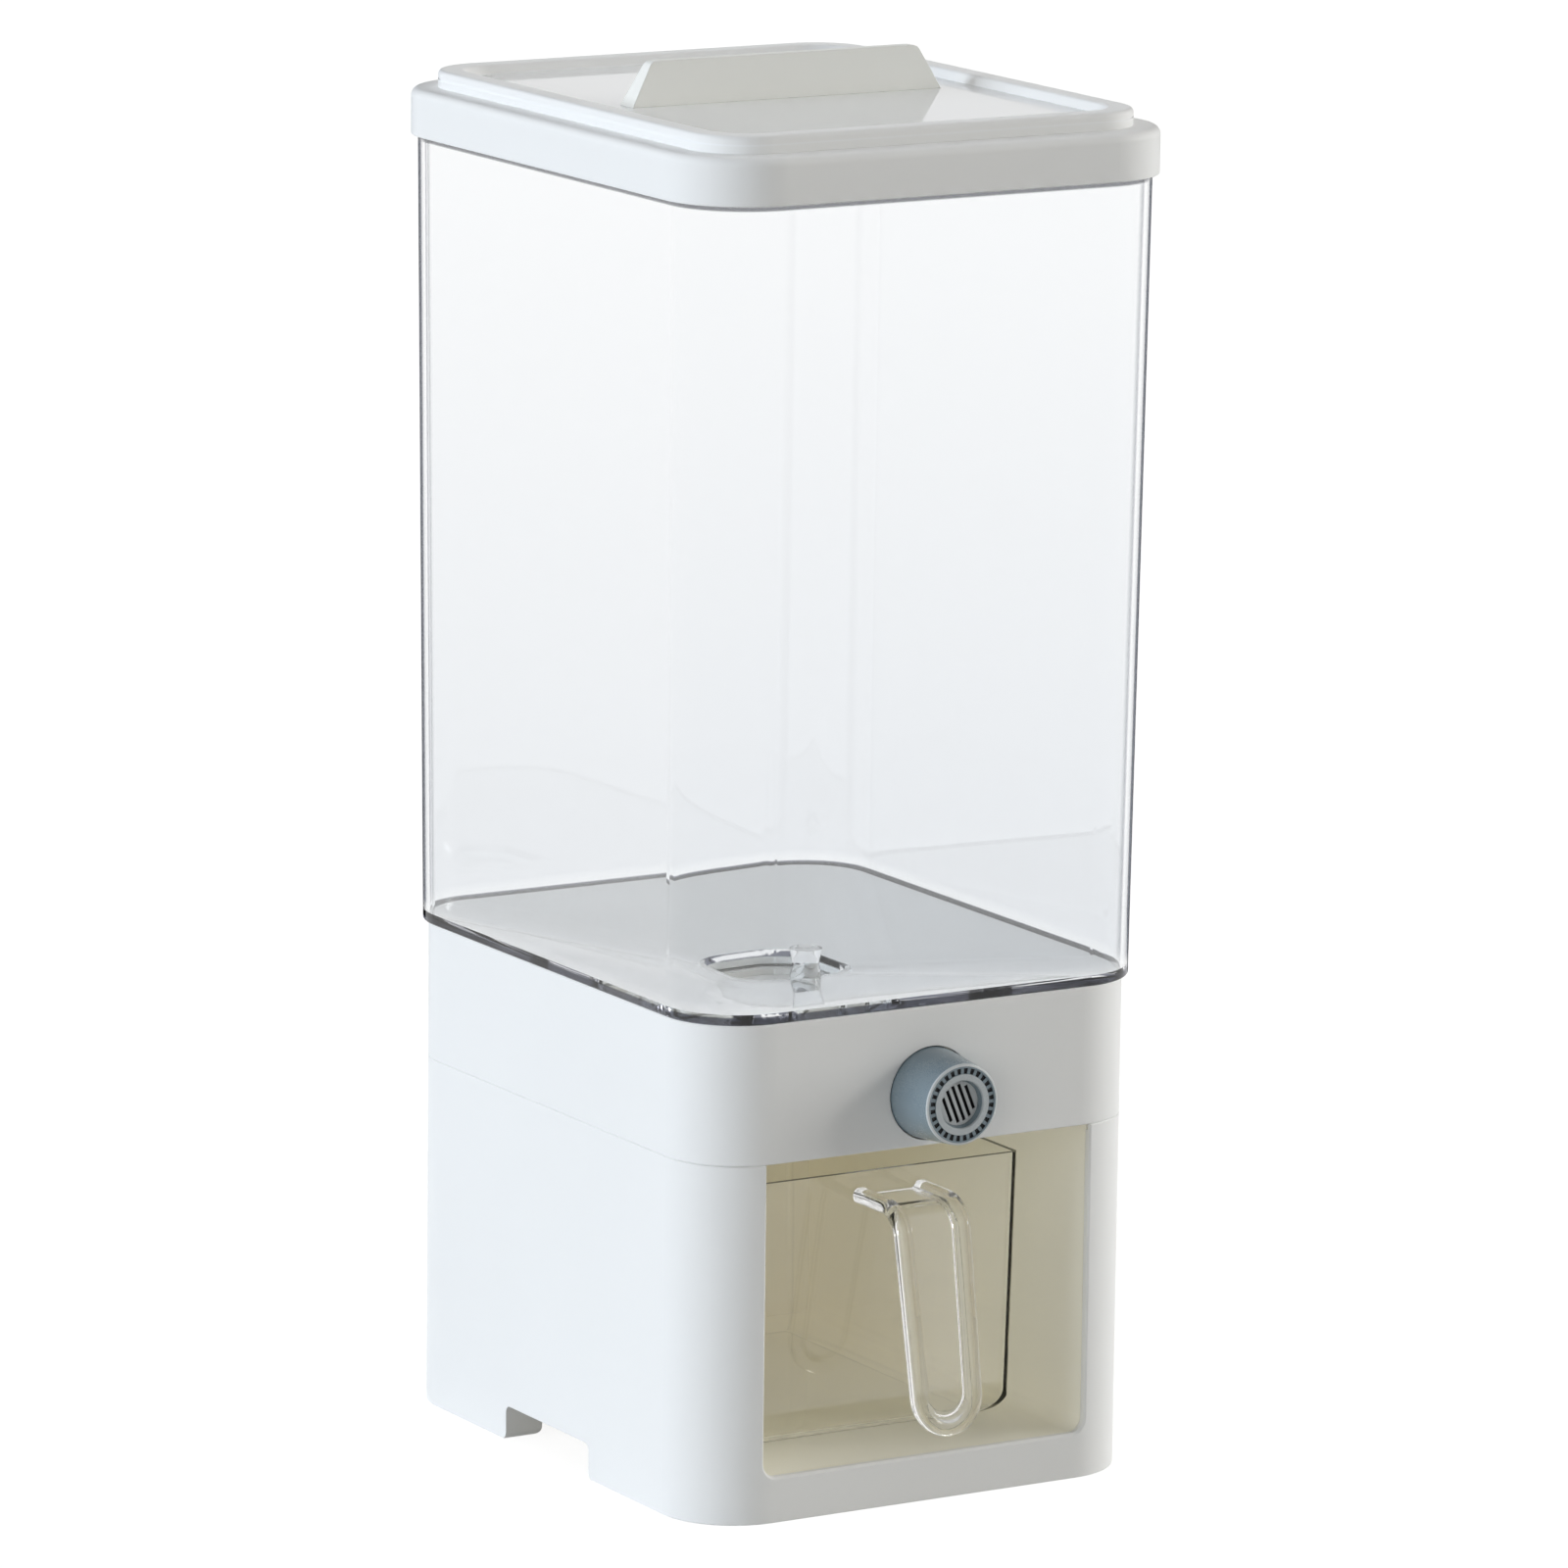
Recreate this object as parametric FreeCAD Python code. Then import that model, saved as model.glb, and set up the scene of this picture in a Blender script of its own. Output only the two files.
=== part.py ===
import FreeCAD, Part
import math
import os

from FreeCAD import Vector

# Rice dispenser: a clear hopper with a funnel floor stands on a white base. A push button opens a
# slide gate under the hopper, and the rice drops into a clear cup that stands in a bay of the base.
# Millimetres. +Z is up, the front faces -Y, and the model is built about the centre of the base's
# footprint, then moved so that the origin is the centre of the overall box, on the table.

# ---------------------------------------------------------------- base cabinet
base_width = 176.0
base_depth = 213.5
base_corner_radius = 27.0
base_wall = 2.6
seam_height = 124.8
edge_round = 0.5
sill_height = 16.0
opening_bevel = 0.9
foot_height = 12.5
foot_width = 14.4
foot_wall = 2.4
foot_round = 3.0
notch_length = 58.0
notch_round = 2.5

# ---------------------------------------------------------------- bay liner
bay_margin = 24.0
bay_rear_margin = 28.8
bay_corner_radius = 5.0
liner_wall = 2.2
liner_floor = 2.4
liner_flange = 2.2
liner_gap = 0.2

# ---------------------------------------------------------------- collar
collar_height = 48.4
collar_wall = 2.6
collar_floor_thickness = 2.0
deck_thickness = 2.5
collar_edge_round = 1.0
neck_room = 0.6

# ---------------------------------------------------------------- hopper
seat_gap = 0.3
tank_height = 290.4
tank_wall = 2.5
tank_overhang = 1.5
tank_flare = 2.4
tank_edge_round = 0.8
funnel_rim_height = 3.5
funnel_drop = 10.5
outlet_size = 44.0
outlet_corner_radius = 14.0
neck_wall = 2.5
neck_length = 3.2
post_radius = 5.7
post_waist_radius = 4.7
post_height = 10.2
neck_tuck = 0.5

# ---------------------------------------------------------------- lid
lid_clearance = 0.4
lid_skirt_wall = 1.9
lid_skirt_height = 16.3
lid_shell = 2.3
lid_shoulder_round = 3.0
lid_shoulder_width = 9.3
lid_frame_height = 6.0
lid_frame_round = 1.6
lid_rim_width = 8.2
lid_well_depth = 3.1
lid_well_draft = 2.0
lid_well_corner = 13.8
lid_plug_gap = 1.6
lid_plug_wall = 1.8
lid_plug_length = 11.0
seal_height = 4.0
seal_drop = 4.0
seal_groove = 0.6
seal_running_gap = 0.3
grip_length = 122.0
grip_top_length = 105.0
grip_height = 15.1
grip_thickness = 8.6
grip_top_thickness = 4.4
grip_corner_round = 3.0
grip_peg_radius = 2.4
grip_peg_length = 5.0
grip_peg_pitch = 40.0

# ---------------------------------------------------------------- button and gate
button_rise = 18.1
button_radius = 15.9
button_face_radius = 14.0
button_proud = 20.0
button_wall = 2.6
button_edge_round = 0.7
button_socket_wall = 2.4
button_socket_end = 2.0
button_tail = 2.25
button_gap = 0.4
button_ear_width = 35.2
button_ear_height = 10.0
face_groove_outer = 12.6
face_groove_inner = 10.6
face_groove_depth = 1.2
face_teeth = 28
face_tooth_width = 1.2
face_tooth_sink = 0.3
insert_radius = 7.6
insert_thickness = 3.0
insert_sink = 2.5
insert_mouth_flare = 0.8
slot_count = 5
slot_pitch = 2.4
slot_width = 1.25
slot_reach = 6.6
slot_tilt = 22.0
slot_floor = 0.5
rod_radius = 4.0
rod_end_radius = 3.0
rod_fit = 0.08
rod_seat = 1.5
rod_tail = 4.0
clip_groove_depth = 0.6
clip_radius = 5.6
clip_thickness = 1.0
clip_slack = 0.2
clip_mouth = 3.2
press_travel = 17.0
spring_radius = 9.2
spring_wire = 1.2
spring_turns = 8
spring_end_gap = 0.1
bracket_depth = 21.5
bracket_wall = 2.0
bracket_height = 28.0
bracket_side_margin = 1.0
bearing_length = 3.0
bearing_wall = 2.5
port_width = 38.0
port_length = 16.0
gate_thickness = 3.1
gate_width = 50.0
gate_gap = 0.3
gate_tab_distance = 46.0
gate_tab_width = 18.0
gate_tab_thickness = 3.0
gate_tab_margin = 2.5
gate_end_gap = 2.0
gate_slot_gap = 1.0
housing_wall = 2.5
housing_flange = 10.7
housing_front = 36.0
housing_rear = 38.5
spacer_radius = 3.6
seal_ring_height = 2.1
seal_ring_width = 5.0
seal_ring_margin = 0.5
seal_seat_gap = 0.5
seal_seat_wall = 1.5
chute_wall = 1.8
chute_taper = 2.0
chute_clearance = 0.6
chute_reach = 7.8
chute_flange = 2.0
chute_corner_radius = 3.0
chute_side_margin = 3.0
chute_end_margin = 4.0
chute_ear_margin = 1.5

# ---------------------------------------------------------------- screws
screw_radius = 1.5
screw_head_radius = 3.2
screw_head_height = 2.2
screw_cross_width = 0.7
screw_cross_reach = 1.8
screw_cross_depth = 1.1
screw_head_round = 0.8
pilot_end = 1.5
screw_slack = 0.3
pilot_slack = 0.05
boss_radius = 4.2
boss_embed = 0.7
cabinet_boss_length = 22.0
collar_boss_length = 14.0
gate_screw_x = 33.5
gate_screw_y = 28.0
gate_screw_grip = 4.7
chute_screw_x = 31.6
bracket_screw_x = 25.0
bracket_boss_length = 7.0

# ---------------------------------------------------------------- cup
cup_recess = 25.2
cup_side_gap = 12.6
cup_rear_gap = 6.7
cup_rim_drop = 13.5
cup_wall = 1.7
cup_edge_radius = 2.4
cup_side_round = 10.0
cup_end_round = 14.0
cup_side_draft = 1.0
cup_end_draft = 2.4
cup_floor_gap = 0.3
handle_width = 30.0
handle_end_width = 27.6
handle_thickness = 5.4
handle_drop = 5.5
handle_reach = 28.0
handle_lean = 10.7
handle_bend_radius = 14.0
handle_floor_gap = 10.5
handle_rim = 5.0
handle_recess = 2.4
handle_under_recess = 0.9
handle_edge_round = 2.4
handle_web_round = 2.2
handle_rim_round = 1.2

# How far a cutting tool reaches past the face that it cuts.
past = 5.0

# ---------------------------------------------------------------- places worked out from the sizes
half_width = base_width / 2
half_depth = base_depth / 2
front_inner = -half_depth + base_wall
bay_width = base_width - 2 * bay_margin
bay_back = half_depth - bay_rear_margin
flange_seat = seam_height - liner_flange - liner_gap
collar_top = seam_height + collar_height
collar_inner_width = base_width - 2 * collar_wall
collar_inner_depth = base_depth - 2 * collar_wall
collar_inner_radius = base_corner_radius - collar_wall
collar_inner_front = -half_depth + collar_wall

tank_bottom = collar_top + seat_gap
tank_top = tank_bottom + tank_height
tank_radius = base_corner_radius
tank_base_width = base_width + 2 * tank_overhang
tank_base_depth = base_depth + 2 * tank_overhang
tank_top_width = tank_base_width + 2 * tank_flare
tank_top_depth = tank_base_depth + 2 * tank_flare
funnel_rim = tank_bottom + funnel_rim_height
outlet_rim = funnel_rim - funnel_drop
neck_size = outlet_size + 2 * neck_wall
neck_radius = outlet_corner_radius + neck_wall
neck_top = tank_bottom - funnel_drop + neck_tuck
neck_bottom = neck_top - neck_length

lid_bottom = tank_top + seat_gap + lid_shell - lid_skirt_height
lid_shoulder = tank_top + seat_gap + lid_shell
lid_top = lid_shoulder + lid_frame_height
lid_well_floor = lid_top - lid_well_depth
lid_width = tank_top_width + 2 * (lid_clearance + lid_skirt_wall)
lid_depth = tank_top_depth + 2 * (lid_clearance + lid_skirt_wall)
lid_radius = tank_radius + lid_clearance + lid_skirt_wall
lid_plug_width = tank_top_width - 2 * (tank_wall + lid_plug_gap)
lid_plug_depth = tank_top_depth - 2 * (tank_wall + lid_plug_gap)
lid_plug_radius = tank_radius - tank_wall - lid_plug_gap
seal_top = tank_top + seat_gap - seal_drop

button_height = seam_height + button_rise
button_front = -half_depth - button_proud
button_back = collar_inner_front + button_gap + button_tail
button_floor = button_front + insert_sink + insert_thickness + button_wall
housing_top = neck_bottom - seat_gap - seal_ring_height
seal_size = neck_size + 2 * seal_ring_margin
seal_radius = neck_radius + seal_ring_margin
cavity_top = housing_top - housing_wall
cavity_bottom = cavity_top - gate_thickness - 2 * gate_gap
cover_bottom = cavity_bottom - housing_wall
cavity_width = gate_width + 2 * gate_gap
housing_width = cavity_width + 2 * housing_wall
flange_width = housing_width + 2 * housing_flange
chute_bottom = seam_height - chute_reach
chute_flange_bottom = cover_bottom - chute_flange
bracket_back = collar_inner_front + bracket_depth + bracket_wall
bracket_seat = collar_inner_front + bracket_boss_length
chute_screw_end = cavity_top - gate_gap - pilot_end

corner_boss_shift = (base_corner_radius - base_wall + boss_embed - boss_radius) / math.sqrt(2)
corner_boss_x = half_width - base_corner_radius + corner_boss_shift
corner_boss_y = half_depth - base_corner_radius + corner_boss_shift

cup_width = bay_width - 2 * cup_side_gap
cup_front = -half_depth + cup_recess
cup_back = bay_back - cup_rear_gap
cup_top = seam_height - cup_rim_drop
cup_bottom = sill_height + cup_floor_gap
handle_top = cup_top - handle_drop
handle_corner = cup_front - handle_reach
handle_tip = sill_height + handle_floor_gap
handle_front = handle_corner - (handle_top - handle_tip) * math.tan(math.radians(handle_lean))

corner_places = [(x, y) for x in (-corner_boss_x, corner_boss_x) for y in (-corner_boss_y, corner_boss_y)]
gate_places = [(x, y) for x in (-gate_screw_x, gate_screw_x) for y in (-gate_screw_y, gate_screw_y)]
chute_places = [(-chute_screw_x, 0), (chute_screw_x, 0)]
bracket_places = [-bracket_screw_x, bracket_screw_x]
peg_places = [(-grip_peg_pitch, 0), (0, 0), (grip_peg_pitch, 0)]

front_reach = max(-button_front, -handle_front)
origin_shift = (front_reach - lid_depth / 2) / 2


# ---------------------------------------------------------------- shape helpers
def block(x_low, x_high, y_low, y_high, z_low, z_high):
    return Part.makeBox(x_high - x_low, y_high - y_low, z_high - z_low, Vector(x_low, y_low, z_low))


def post(x, y, z_low, z_high, radius):
    """A round bar along Z."""
    return Part.makeCylinder(radius, z_high - z_low, Vector(x, y, z_low), Vector(0, 0, 1))


def bar(x, z, y_low, y_high, radius):
    """A round bar along Y."""
    return Part.makeCylinder(radius, y_high - y_low, Vector(x, y_low, z), Vector(0, 1, 0))


def rounded_wire(width, depth, radius, z):
    """A rounded rectangle about the Z axis, always four lines and four arcs in the same order."""
    x = width / 2
    y = depth / 2
    arcs = []
    for sign_x, sign_y, start in ((1, -1, -90), (1, 1, 0), (-1, 1, 90), (-1, -1, 180)):
        centre = Vector(sign_x * (x - radius), sign_y * (y - radius), z)
        points = []
        for angle in (start, start + 45, start + 90):
            turn = math.radians(angle)
            points.append(centre + Vector(radius * math.cos(turn), radius * math.sin(turn), 0))
        arcs.append(Part.Arc(*points).toShape())
    edges = []
    for index, arc in enumerate(arcs):
        following = arcs[(index + 1) % 4]
        edges.append(arc)
        edges.append(line(arc.Vertexes[-1].Point, following.Vertexes[0].Point))
    return Part.Wire(edges)


def line(start, end):
    return Part.LineSegment(start, end).toShape()


def arc(start, middle, end):
    return Part.Arc(start, middle, end).toShape()


def slab(width, depth, radius, z_low, z_high):
    """A plate with a rounded-rectangle outline."""
    face = Part.Face(rounded_wire(width, depth, radius, z_low))
    return face.extrude(Vector(0, 0, z_high - z_low))


def tapered(low, high):
    """A solid between two rounded rectangles, each given as (width, depth, radius, z)."""
    return Part.makeLoft([rounded_wire(*low), rounded_wire(*high)], True, True)


def prism(edges, direction):
    """A closed chain of edges, extruded along a direction."""
    return Part.Face(Part.Wire(edges)).extrude(direction)


def edges_in_plane(shape, axis, place):
    """The edges whose ends all lie in one plane across an axis, such as "Z" at a height."""
    return [e for e in shape.Edges if all(abs(getattr(v, axis) - place) < 1e-6 for v in e.Vertexes)]


def round_rim(shape, radius, height):
    """Rounds every edge that lies in the level plane at this height."""
    return shape.makeFillet(radius, edges_in_plane(shape, "Z", height))


def sharp_edges(shape):
    """The edges where two faces meet at more than 45 degrees."""
    kept = []
    for edge in shape.Edges:
        middle = edge.valueAt((edge.FirstParameter + edge.LastParameter) / 2)
        faces = shape.ancestorsOfType(edge, Part.Face)
        normals = [face.normalAt(*face.Surface.parameter(middle)) for face in faces]
        if len(normals) == 2 and normals[0].getAngle(normals[1]) > math.radians(45):
            kept.append(edge)
    return kept


def join(shapes):
    result = shapes[0]
    for shape in shapes[1:]:
        result = result.fuse(shape)
    return result.removeSplitter()


def both_sides(shape):
    """The shape with its mirror image across the middle plane."""
    return [shape, shape.mirror(Vector(0, 0, 0), Vector(1, 0, 0))]


def drilled(shape, places, z_low, z_high, radius):
    """The shape with a round hole along Z at each place."""
    for x, y in places:
        shape = shape.cut(post(x, y, z_low, z_high, radius))
    return shape


def trough_wire(width, low, high, radius, y):
    """An upright U-shaped section in the XZ plane: straight sides and round lower corners."""
    x = width / 2
    bend = radius * (1 - math.sqrt(0.5))
    top_left = Vector(-x, y, high)
    left = Vector(-x, y, low + radius)
    left_low = Vector(-x + radius, y, low)
    right_low = Vector(x - radius, y, low)
    right = Vector(x, y, low + radius)
    top_right = Vector(x, y, high)
    edges = [
        line(top_left, left),
        arc(left, Vector(-x + bend, y, low + bend), left_low),
        line(left_low, right_low),
        arc(right_low, Vector(x - bend, y, low + bend), right),
        line(right, top_right),
        line(top_right, top_left),
    ]
    return Part.Wire(edges)


def trough(width, low, high, radius, y_low, y_high):
    face = Part.Face(trough_wire(width, low, high, radius, y_low))
    return face.extrude(Vector(0, y_high - y_low, 0))


def save(name, shape):
    solids = shape.Solids
    kept = solids[0] if len(solids) == 1 else Part.makeCompound(solids)
    kept = kept.copy()
    kept.translate(Vector(0, origin_shift, 0))
    kept.exportStep("parts/" + name + ".step")


# ---------------------------------------------------------------- base cabinet
def opening_cutter():
    """The way into the bay through the front wall, with a small bevel at the front face."""
    high = seam_height + past
    ahead = -half_depth - past
    through = trough(bay_width, sill_height, high, bay_corner_radius, ahead, front_inner + past)
    wide = trough_wire(
        bay_width + 2 * opening_bevel,
        sill_height - opening_bevel,
        high,
        bay_corner_radius + opening_bevel,
        -half_depth,
    )
    narrow = trough_wire(bay_width, sill_height, high, bay_corner_radius, -half_depth + opening_bevel)
    return through.fuse(Part.makeLoft([wide, narrow], True, True))


def notch_cutter():
    """The arch between the front and rear feet, with round inner corners and round foot tips."""
    wide = half_width + past
    end = notch_length / 2
    arch = block(-wide, wide, -end, end, -past, foot_height)
    pieces = [arch.makeFillet(notch_round, edges_along_x(edges_in_plane(arch, "Z", foot_height)))]
    for sign in (-1, 1):
        centre = sign * (end + foot_round)
        tip = block(-wide, wide, min(sign * end, centre), max(sign * end, centre), -past, foot_round)
        barrel = Part.makeCylinder(foot_round, 2 * wide, Vector(-wide, centre, foot_round), Vector(1, 0, 0))
        pieces.append(tip.cut(barrel))
    return join(pieces)


def edges_along_x(edges):
    return [e for e in edges if abs(e.Vertexes[0].X - e.Vertexes[-1].X) > 1e-3]


def foot(y_low, y_high):
    """One hollow foot along the left wall, open at its top."""
    inner_x = -half_width + foot_width
    outer_x = -half_width - past
    solid = block(outer_x, inner_x, y_low, y_high, 0, foot_height)
    inner_edge = [e for e in edges_in_plane(solid, "X", inner_x) if e.CenterOfMass.z == 0]
    solid = solid.makeFillet(foot_round, inner_edge)
    hollow = block(
        outer_x,
        inner_x - foot_wall,
        y_low + foot_wall,
        y_high - foot_wall,
        foot_wall,
        foot_height + past,
    )
    return solid.cut(hollow)


def base_cabinet():
    """Four walls with the bay's opening, closed feet, and tubes for the screws into the collar."""
    outer = slab(base_width, base_depth, base_corner_radius, 0, seam_height)
    outer = round_rim(outer, edge_round, seam_height)
    outer = round_rim(outer, edge_round, 0)
    inside = slab(
        base_width - 2 * base_wall,
        base_depth - 2 * base_wall,
        base_corner_radius - base_wall,
        -past,
        seam_height + past,
    )
    ledge = slab(
        base_width - base_wall,
        base_depth - base_wall,
        base_corner_radius - base_wall / 2,
        flange_seat,
        seam_height + past,
    )
    pieces = [outer.cut(inside)]
    for low, high in ((-half_depth - past, -notch_length / 2), (notch_length / 2, half_depth + past)):
        pieces.extend(both_sides(foot(low, high).common(outer)))
    boss_low = flange_seat - cabinet_boss_length
    for x, y in corner_places:
        pieces.append(post(x, y, boss_low, flange_seat, boss_radius))
    whole = join(pieces).cut(ledge).cut(opening_cutter()).cut(notch_cutter())
    return drilled(whole, corner_places, boss_low - past, seam_height, screw_radius + screw_slack)


def bay_liner():
    """The bay: a floor, two sides and a back, hung from a flange on the cabinet's ledge."""
    front = front_inner + liner_gap
    flange_top = flange_seat + liner_flange
    box = trough(
        bay_width + 2 * liner_wall,
        sill_height - liner_floor,
        flange_top,
        bay_corner_radius + liner_floor,
        front,
        bay_back + liner_wall,
    )
    box = box.common(inside_of_walls(base_wall + liner_gap, 0, flange_top))
    flange = inside_of_walls(base_wall / 2 + liner_gap, flange_seat, flange_top)
    ahead = block(-half_width, half_width, -half_depth - past, front, flange_seat - past, seam_height)
    high = seam_height + past
    room = trough(bay_width, sill_height, high, bay_corner_radius, -half_depth - past, bay_back)
    whole = join([box, flange.cut(ahead)]).cut(room)
    return drilled(whole, corner_places, flange_seat - past, seam_height, screw_radius + screw_slack)


def inside_of_walls(inset, z_low, z_high):
    """The base's outline drawn in by an inset."""
    return slab(base_width - 2 * inset, base_depth - 2 * inset, base_corner_radius - inset, z_low, z_high)


# ---------------------------------------------------------------- collar
def funnel_surface(offset):
    """The hopper's underside as a solid above it, moved down by an offset."""
    low = (neck_size, neck_size, neck_radius, neck_top - offset)
    high = (collar_inner_width, collar_inner_depth, collar_inner_radius, tank_bottom - offset)
    return tapered(low, high)


def collar_bosses(above):
    """Screw bosses: four at the corners, four under the deck and two behind the front wall."""
    bosses = []
    for x, y in corner_places:
        bosses.append(post(x, y, seam_height, seam_height + collar_boss_length, boss_radius))
    for x, y in gate_places:
        bosses.append(post(x, y, housing_top, collar_top - deck_thickness, boss_radius).cut(above))
    for x in bracket_places:
        bosses.append(bar(x, button_height, collar_inner_front, bracket_seat, boss_radius))
    return bosses


def collar_shell():
    """Outer walls, the sloping deck that carries the hopper, and the bosses under it."""
    outer = slab(base_width, base_depth, base_corner_radius, seam_height, collar_top)
    outer = round_rim(outer, edge_round, seam_height)
    outer = round_rim(outer, collar_edge_round, collar_top)
    inner_size = (collar_inner_width, collar_inner_depth, collar_inner_radius)
    walls = outer.cut(slab(*inner_size, seam_height - past, collar_top + past))
    above = funnel_surface(seat_gap)
    under = funnel_surface(seat_gap + deck_thickness)
    brim = slab(*inner_size, collar_top - deck_thickness, collar_top)
    deck = join([under, brim]).cut(above)
    whole = join([walls, deck] + collar_bosses(above))
    hole_size = neck_size + 2 * neck_room
    whole = whole.cut(slab(hole_size, hole_size, neck_radius + neck_room, housing_top, collar_top))
    pilot = screw_radius + pilot_slack
    boss_end = seam_height + collar_boss_length - pilot_end
    gate_pilot_end = housing_top + gate_screw_grip + pilot_end / 2
    bracket_pilot_end = collar_inner_front + pilot_end / 2
    whole = drilled(whole, corner_places, seam_height - past, boss_end, pilot)
    whole = drilled(whole, gate_places, housing_top - past, gate_pilot_end, pilot)
    for x in bracket_places:
        whole = whole.cut(bar(x, button_height, bracket_pilot_end, bracket_seat + past, pilot))
    button_hole = button_radius + button_gap
    return whole.cut(bar(0, button_height, -half_depth - past, collar_inner_front + past, button_hole))


def collar_floor():
    """The plate that closes the collar above the bay, with the chute's hole."""
    plate = inside_of_walls(collar_wall + seat_gap, seam_height, seam_height + collar_floor_thickness)
    width, depth = chute_size(seam_height + collar_floor_thickness)
    half_x = width / 2 + chute_clearance
    half_y = depth / 2 + chute_clearance
    plate = plate.cut(block(-half_x, half_x, -half_y, half_y, seam_height - past, seam_height + past))
    return drilled(plate, corner_places, seam_height - past, seam_height + past, boss_radius + seat_gap)


# ---------------------------------------------------------------- gate
def gate_port(centre_y, z_low, z_high):
    half_x = port_width / 2
    half_y = port_length / 2
    return block(-half_x, half_x, centre_y - half_y, centre_y + half_y, z_low, z_high)


def gate_housing():
    """The upper half of the gate: a ported plate, two rails, a rear stop and the seal's seat."""
    half_flange = flange_width / 2
    half = housing_width / 2
    cavity = (cavity_bottom, cavity_top)
    parts = [block(-half_flange, half_flange, -housing_front, housing_rear, cavity_top, housing_top)]
    parts.extend(both_sides(block(-half, -cavity_width / 2, -housing_front, housing_rear, *cavity)))
    parts.append(block(-half, half, housing_rear - housing_wall, housing_rear, *cavity))
    for x, y in gate_places:
        parts.append(post(x, y, cavity_bottom, cavity_top, spacer_radius))
    inner = seal_size + 2 * seal_seat_gap
    inner_radius = seal_radius + seal_seat_gap
    outer = inner + 2 * seal_seat_wall
    seat = slab(outer, outer, inner_radius + seal_seat_wall, housing_top, housing_top + seal_ring_height)
    parts.append(seat.cut(slab(inner, inner, inner_radius, housing_top - past, housing_top + past)))
    whole = join(parts).cut(gate_port(0, cavity_bottom - past, housing_top + past))
    return drilled(whole, gate_places, cavity_bottom - past, housing_top + past, screw_radius + screw_slack)


def gate_cover():
    """The lower half of the gate, slotted at the front for the slide's tab."""
    half_flange = flange_width / 2
    parts = [block(-half_flange, half_flange, -housing_front, housing_rear, cover_bottom, cavity_bottom)]
    boss_top = cavity_top - gate_gap
    for x, y in chute_places:
        parts.append(post(x, y, cavity_bottom, boss_top, screw_head_radius))
    low = cover_bottom - past
    high = cavity_bottom + past
    slot_end = -gate_tab_distance + press_travel + gate_end_gap
    half_slot = gate_tab_width / 2 + gate_slot_gap
    slot = block(-half_slot, half_slot, -housing_front - past, slot_end, low, high)
    whole = join(parts).cut(gate_port(0, low, high)).cut(slot)
    whole = drilled(whole, gate_places, low, high, screw_radius + screw_slack)
    return drilled(whole, chute_places, low, chute_screw_end + pilot_end / 2, screw_radius + pilot_slack)


def gate_slide():
    """The moving plate: its port stands ahead of the fixed port until the button is pressed."""
    z_low = cavity_bottom + gate_gap
    z_high = z_low + gate_thickness
    front = -gate_tab_distance - gate_tab_thickness
    rear = housing_rear - housing_wall - press_travel - gate_end_gap
    plate = block(-gate_width / 2, gate_width / 2, front, rear, z_low, z_high)
    tab_low = button_height - rod_end_radius - gate_tab_margin
    tab = block(-gate_tab_width / 2, gate_tab_width / 2, front, -gate_tab_distance, tab_low, z_high)
    whole = join([plate, tab]).cut(gate_port(-press_travel, z_low - past, z_high + past))
    hole_radius = rod_end_radius + pilot_slack
    return whole.cut(bar(0, button_height, front - past, -gate_tab_distance + past, hole_radius))


def outlet_seal():
    """A soft ring between the hopper's neck and the gate housing."""
    inner = seal_size - 2 * seal_ring_width
    inner_radius = seal_radius - seal_ring_width
    ring = slab(seal_size, seal_size, seal_radius, housing_top, housing_top + seal_ring_height)
    return ring.cut(slab(inner, inner, inner_radius, housing_top - past, housing_top + past))


def chute_size(z):
    """Width and depth of the chute's outside at a height."""
    narrowing = 2 * chute_taper * (cover_bottom - z) / (cover_bottom - chute_bottom)
    width = port_width + 2 * (chute_side_margin + chute_wall) - narrowing
    depth = port_length + 2 * (chute_end_margin + chute_wall) - narrowing
    return width, depth


def chute_body(inset):
    sections = []
    for z in (chute_bottom, cover_bottom):
        width, depth = chute_size(z)
        sections.append((width - 2 * inset, depth - 2 * inset, chute_corner_radius - inset, z))
    return tapered(*sections)


def outlet_chute():
    """A tapering spout under the gate, with a flange for its two screws."""
    reach = chute_screw_x + screw_head_radius + chute_ear_margin
    half_depth_at_top = chute_size(cover_bottom)[1] / 2
    flange = block(-reach, reach, -half_depth_at_top, half_depth_at_top, chute_flange_bottom, cover_bottom)
    whole = join([chute_body(0.0), flange]).cut(chute_body(chute_wall))
    low = chute_flange_bottom - past
    return drilled(whole, chute_places, low, cover_bottom + past, screw_radius + screw_slack)


# ---------------------------------------------------------------- button
def face_tooth(index):
    """One rib across the groove of the button's face."""
    tooth = block(
        -face_tooth_width / 2,
        face_tooth_width / 2,
        button_front + face_tooth_sink,
        button_front + face_groove_depth + face_tooth_sink,
        face_groove_inner - face_tooth_sink,
        face_groove_outer + face_tooth_sink,
    )
    tooth.rotate(Vector(0, 0, 0), Vector(0, 1, 0), 360.0 * index / face_teeth)
    tooth.translate(Vector(0, 0, button_height))
    return tooth


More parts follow.
